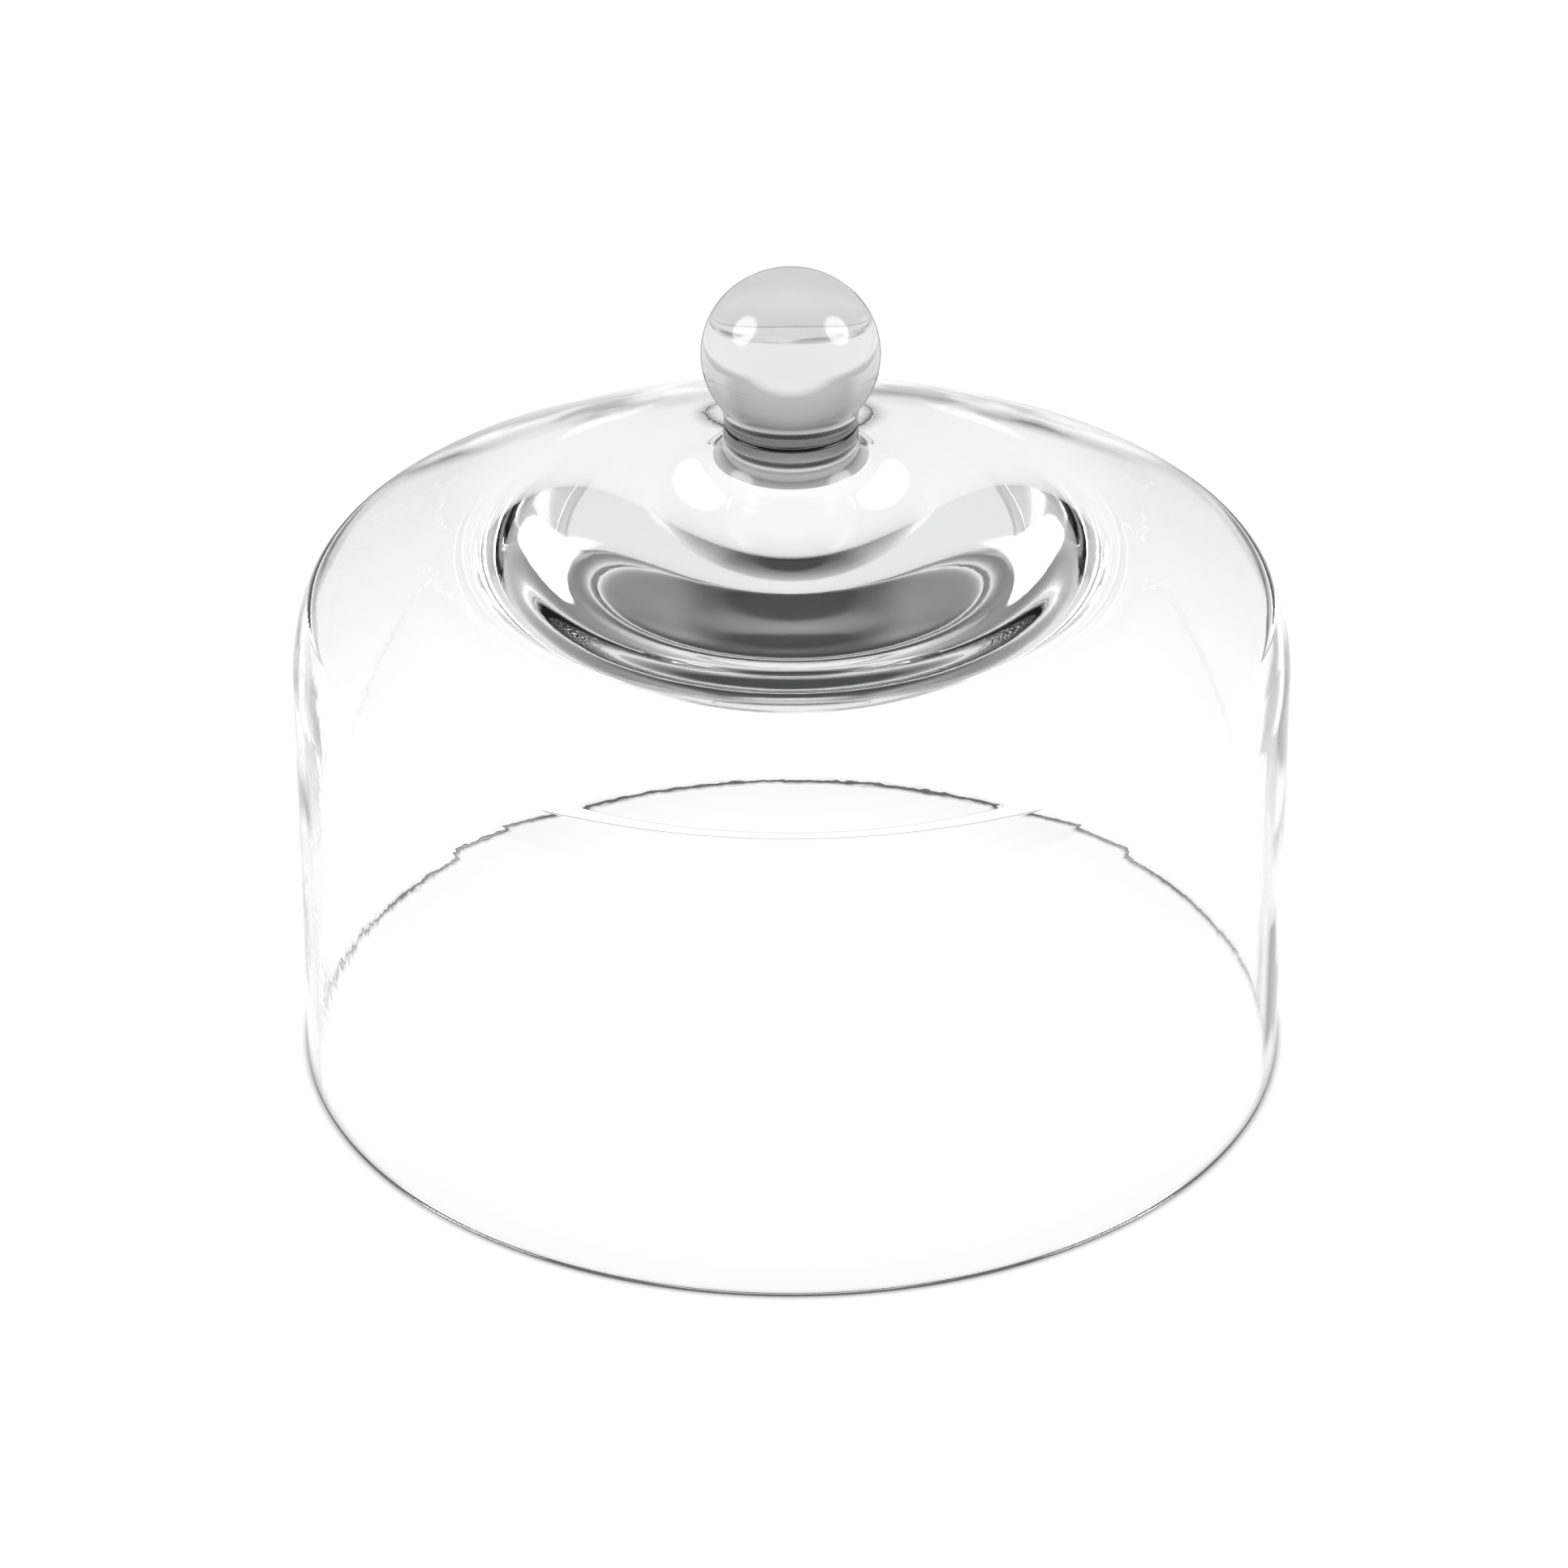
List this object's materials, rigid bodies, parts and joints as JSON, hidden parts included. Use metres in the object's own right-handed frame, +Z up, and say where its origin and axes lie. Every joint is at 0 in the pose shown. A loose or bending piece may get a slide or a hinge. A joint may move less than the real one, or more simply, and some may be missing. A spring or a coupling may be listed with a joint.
{
  "type": "bell jar dome",
  "caption": "Low, wide bell jar dome of clear blown glass with a straight wall, a low crown that is thick in the middle, and a solid ball knob on a flared collar.",
  "frame": {"origin": "centre of the rim, on the plane that the rim stands on", "axes": "+Z up along the axis of revolution, from the rim to the knob; the dome is round, so +X and +Y are any two level directions at right angles"},
  "size_m": [0.27, 0.27, 0.231],
  "materials": {
    "clear_glass": "clear, fire-polished soda-lime glass with faint blowing ripples"
  },
  "bodies": {
    "root": {"dome_shell": "clear_glass", "knob_collar": "clear_glass", "knob": "clear_glass"}
  },
  "joints": []
}
